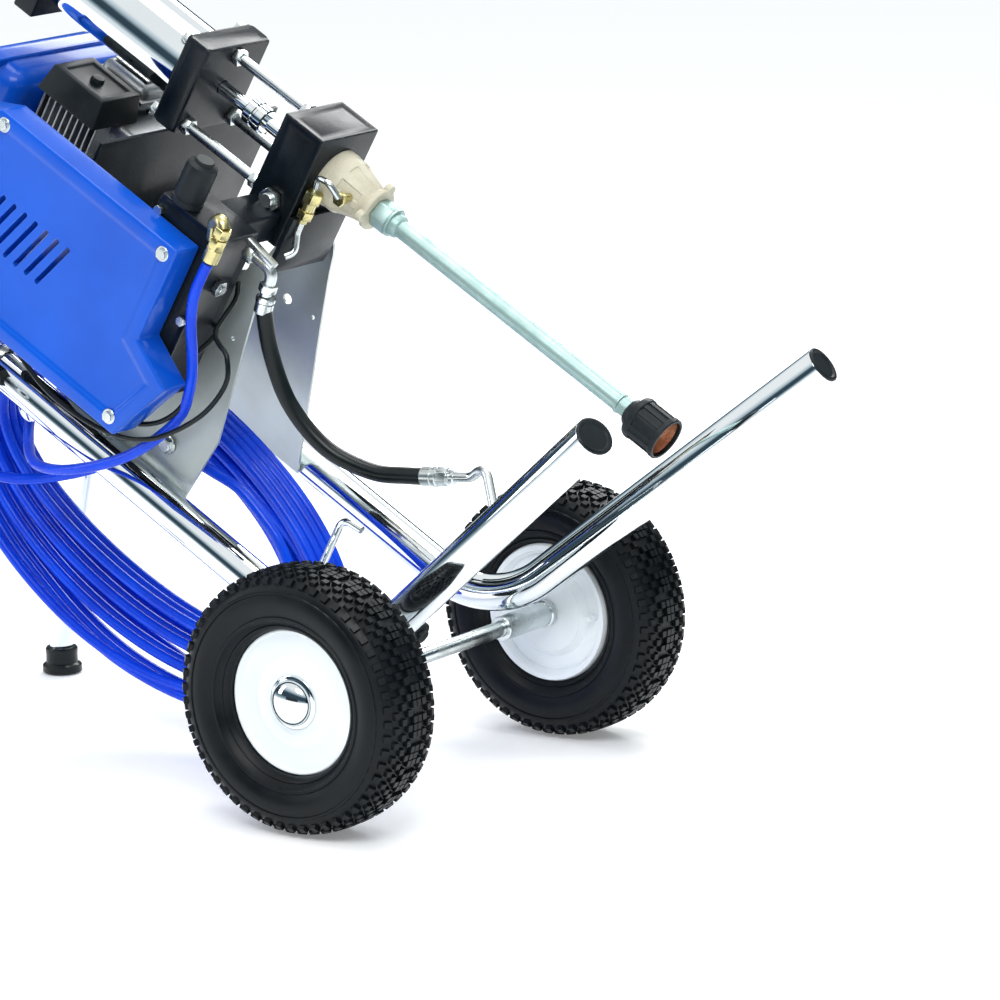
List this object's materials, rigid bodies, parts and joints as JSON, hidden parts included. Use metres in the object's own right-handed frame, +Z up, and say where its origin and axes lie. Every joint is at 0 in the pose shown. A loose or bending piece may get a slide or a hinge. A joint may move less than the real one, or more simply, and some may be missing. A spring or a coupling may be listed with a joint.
{
  "type": "line striping machine",
  "caption": "Two-wheeled airless paint striper, laid back on its stand: bent tube cart, engine-driven pump, siphon tube, coiled spray hose and gun.",
  "frame": {"origin": "middle of the footprint, on the floor", "axes": "+X to the front, where the suction tube reaches, +Y to the left, +Z up"},
  "size_m": [1.1214, 0.515, 0.8243],
  "materials": {
    "chrome": "polished chrome plate",
    "steel": "bright plated steel",
    "zinc": "bright sheet steel",
    "white": "white enamel",
    "tyre": "moulded tyre rubber",
    "black": "black satin paint",
    "plastic": "black plastic",
    "blue": "blue gloss enamel",
    "hose": "blue hose cover",
    "tan": "tan textured paint",
    "brass": "machined brass",
    "engine": "die cast grey",
    "rubber": "black rubber"
  },
  "bodies": {
    "cart": {"air_cleaner": "plastic", "axle": "steel", "axle_sleeve_left": "steel", "axle_sleeve_right": "steel", "belt_guard": "blue", "cross_tube_lower": "chrome", "cross_tube_upper": "chrome", "drain_elbow": "zinc", "drain_hose": "rubber", "drain_tube": "steel", "drive_belt": "rubber", "engine_block": "engine", "engine_deck": "black", "filter_bowl": "black", "fluid_manifold": "black", "frame_tube_left": "chrome", "frame_tube_right": "chrome", "fuel_tank": "blue", "gun_body": "engine", "gun_holder": "black", "hose_coil": "hose", "hose_lead": "hose", "hose_swivel": "brass", "hose_tail": "hose", "hydraulic_pump": "black", "hydraulic_tank": "black", "intake_housing": "tan", "leg_cap_left": "plastic", "leg_cap_right": "plastic", "motor_base": "black", "motor_cylinder": "chrome", "motor_head": "black", "muffler": "engine", "pump_block": "black", "pump_stand_left": "zinc", "pump_stand_right": "zinc", "rack_hook": "chrome", "recoil_housing": "blue", "stand_leg_left": "chrome", "stand_leg_right": "chrome", "tie_rod_1": "steel", "tie_rod_2": "steel", "tie_rod_3": "steel"},
    "wheel_left": {"rim_left": "white", "tyre_left": "tyre", "hub_cap_left": "chrome"},
    "wheel_right": {"rim_right": "white", "tyre_right": "tyre", "hub_cap_right": "chrome"},
    "siphon": {"siphon_tube": "chrome", "strainer": "black"},
    "pump_rod": {"displacement_rod": "chrome"},
    "pressure_control": {"pressure_knob": "plastic"},
    "engine_pulley_set": {"engine_pulley": "engine"},
    "pump_pulley_set": {"pump_pulley": "engine"},
    "tank_cap": {"fuel_cap": "plastic"},
    "starter_pull": {"starter_grip": "plastic"},
    "handle": {"handle_bar": "chrome", "handle_grip": "rubber"},
    "trigger": {"gun_trigger": "steel"}
  },
  "joints": [
    {"name": "wheel_left_spin", "type": "hinge", "parent": "cart", "child": "wheel_left", "pos_m": [0.22747, 0.2155, 0.1295], "axis": [0, 1, 0], "continuous": true},
    {"name": "wheel_right_spin", "type": "hinge", "parent": "cart", "child": "wheel_right", "pos_m": [0.22747, -0.2155, 0.1295], "axis": [0, 1, 0], "continuous": true},
    {"name": "siphon_swivel", "type": "hinge", "parent": "cart", "child": "siphon", "pos_m": [0.16676, 0, 0.55928], "axis": [-0.863, 0, 0.5053], "range_deg": [-180, 180]},
    {"name": "pump_stroke", "type": "slide", "parent": "cart", "child": "pump_rod", "axis": [-0.863, 0, 0.5053], "range_m": [-0.022, 0.022]},
    {"name": "pressure_turn", "type": "hinge", "parent": "cart", "child": "pressure_control", "pos_m": [0.05343, -0.12, 0.57847], "axis": [0.5053, 0, 0.863], "range_deg": [-135, 135]},
    {"name": "engine_shaft_spin", "type": "hinge", "parent": "cart", "child": "engine_pulley_set", "pos_m": [-0.1871, -0.1735, 0.56252], "axis": [0, -1, 0], "continuous": true},
    {"name": "pump_shaft_spin", "type": "hinge", "parent": "cart", "child": "pump_pulley_set", "pos_m": [-0.08095, -0.1735, 0.50037], "axis": [0, -1, 0], "continuous": true},
    {"name": "tank_cap_turn", "type": "hinge", "parent": "cart", "child": "tank_cap", "pos_m": [-0.34505, -0.01, 0.58547], "axis": [-0.863, 0, 0.5053], "range_deg": [0, 90]},
    {"name": "starter_pull_slide", "type": "slide", "parent": "cart", "child": "starter_pull", "axis": [0.5053, 0, 0.863], "range_m": [0, 0.11]},
    {"name": "handle_extend", "type": "slide", "parent": "cart", "child": "handle", "axis": [-0.863, 0, 0.5053], "range_m": [-0.055, 0.08]},
    {"name": "trigger_squeeze", "type": "hinge", "parent": "cart", "child": "trigger", "pos_m": [-0.27058, -0.166, 0.39818], "axis": [0, 1, 0], "range_deg": [0, 15], "stiffness_Nm_per_rad": 0.8}
  ],
  "couplings": [
    {"joint": "pump_shaft_spin", "follows": "engine_shaft_spin", "ratio": 0.57692}
  ]
}
